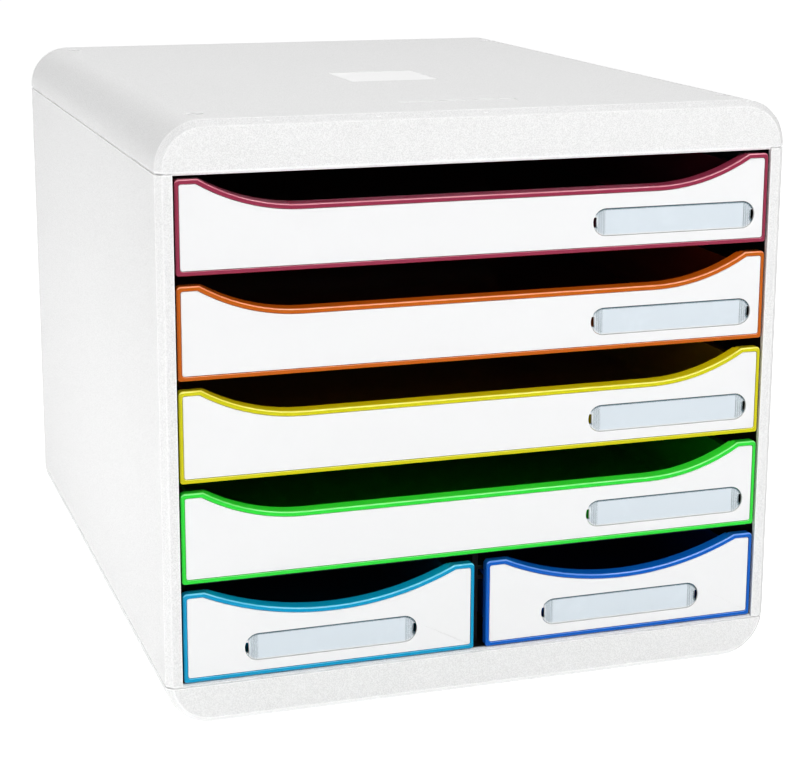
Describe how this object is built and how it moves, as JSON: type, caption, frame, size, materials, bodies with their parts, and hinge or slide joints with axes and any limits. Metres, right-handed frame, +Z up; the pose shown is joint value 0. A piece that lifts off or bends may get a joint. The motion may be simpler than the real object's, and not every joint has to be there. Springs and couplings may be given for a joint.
{
  "type": "drawer organizer",
  "caption": "Desktop drawer tower with a white moulded casing, sliding full-width and half-width trays, scooped coloured-edge fronts and clear label holders.",
  "frame": {"origin": "middle of the footprint, on the surface that the feet stand on", "axes": "+X right seen from the front, +Y towards the back, +Z up; the drawers open towards -Y"},
  "size_m": [0.288, 0.347, 0.2668],
  "materials": {
    "casing_white": "fine spark grain, satin",
    "front_white": "smooth gloss",
    "tray_raspberry": "smooth gloss",
    "tray_orange": "smooth gloss",
    "tray_yellow": "smooth gloss",
    "tray_green": "smooth gloss",
    "tray_turquoise": "smooth gloss",
    "tray_blue": "smooth gloss",
    "runner_black": "matt",
    "rubber_grey": "matt",
    "window_clear": "clear gloss, finely ribbed ends",
    "card_white": "plain card"
  },
  "bodies": {
    "casing": {"top_cover": "casing_white", "base_cover": "casing_white", "left_side": "casing_white", "right_side": "casing_white", "back_panel": "casing_white", "left_runner_panel": "runner_black", "right_runner_panel": "runner_black", "centre_divider": "runner_black", "divider_shelf": "runner_black", "floor_panel": "runner_black", "rubber_feet": "rubber_grey"},
    "drawer_1": {"drawer_1_tray": "tray_raspberry", "drawer_1_front_plate": "front_white", "drawer_1_label_window": "window_clear", "drawer_1_label_card": "card_white"},
    "drawer_2": {"drawer_2_tray": "tray_orange", "drawer_2_front_plate": "front_white", "drawer_2_label_window": "window_clear", "drawer_2_label_card": "card_white"},
    "drawer_3": {"drawer_3_tray": "tray_yellow", "drawer_3_front_plate": "front_white", "drawer_3_label_window": "window_clear", "drawer_3_label_card": "card_white"},
    "drawer_4": {"drawer_4_tray": "tray_green", "drawer_4_front_plate": "front_white", "drawer_4_label_window": "window_clear", "drawer_4_label_card": "card_white"},
    "drawer_5": {"drawer_5_tray": "tray_turquoise", "drawer_5_front_plate": "front_white", "drawer_5_label_window": "window_clear", "drawer_5_label_card": "card_white"},
    "drawer_6": {"drawer_6_tray": "tray_blue", "drawer_6_front_plate": "front_white", "drawer_6_label_window": "window_clear", "drawer_6_label_card": "card_white"}
  },
  "joints": [
    {"name": "drawer_1_slide", "type": "slide", "parent": "casing", "child": "drawer_1", "axis": [0, -1, 0], "range_m": [0, 0.25]},
    {"name": "drawer_2_slide", "type": "slide", "parent": "casing", "child": "drawer_2", "axis": [0, -1, 0], "range_m": [0, 0.25]},
    {"name": "drawer_3_slide", "type": "slide", "parent": "casing", "child": "drawer_3", "axis": [0, -1, 0], "range_m": [0, 0.25]},
    {"name": "drawer_4_slide", "type": "slide", "parent": "casing", "child": "drawer_4", "axis": [0, -1, 0], "range_m": [0, 0.25]},
    {"name": "drawer_5_slide", "type": "slide", "parent": "casing", "child": "drawer_5", "axis": [0, -1, 0], "range_m": [0, 0.25]},
    {"name": "drawer_6_slide", "type": "slide", "parent": "casing", "child": "drawer_6", "axis": [0, -1, 0], "range_m": [0, 0.25]}
  ]
}
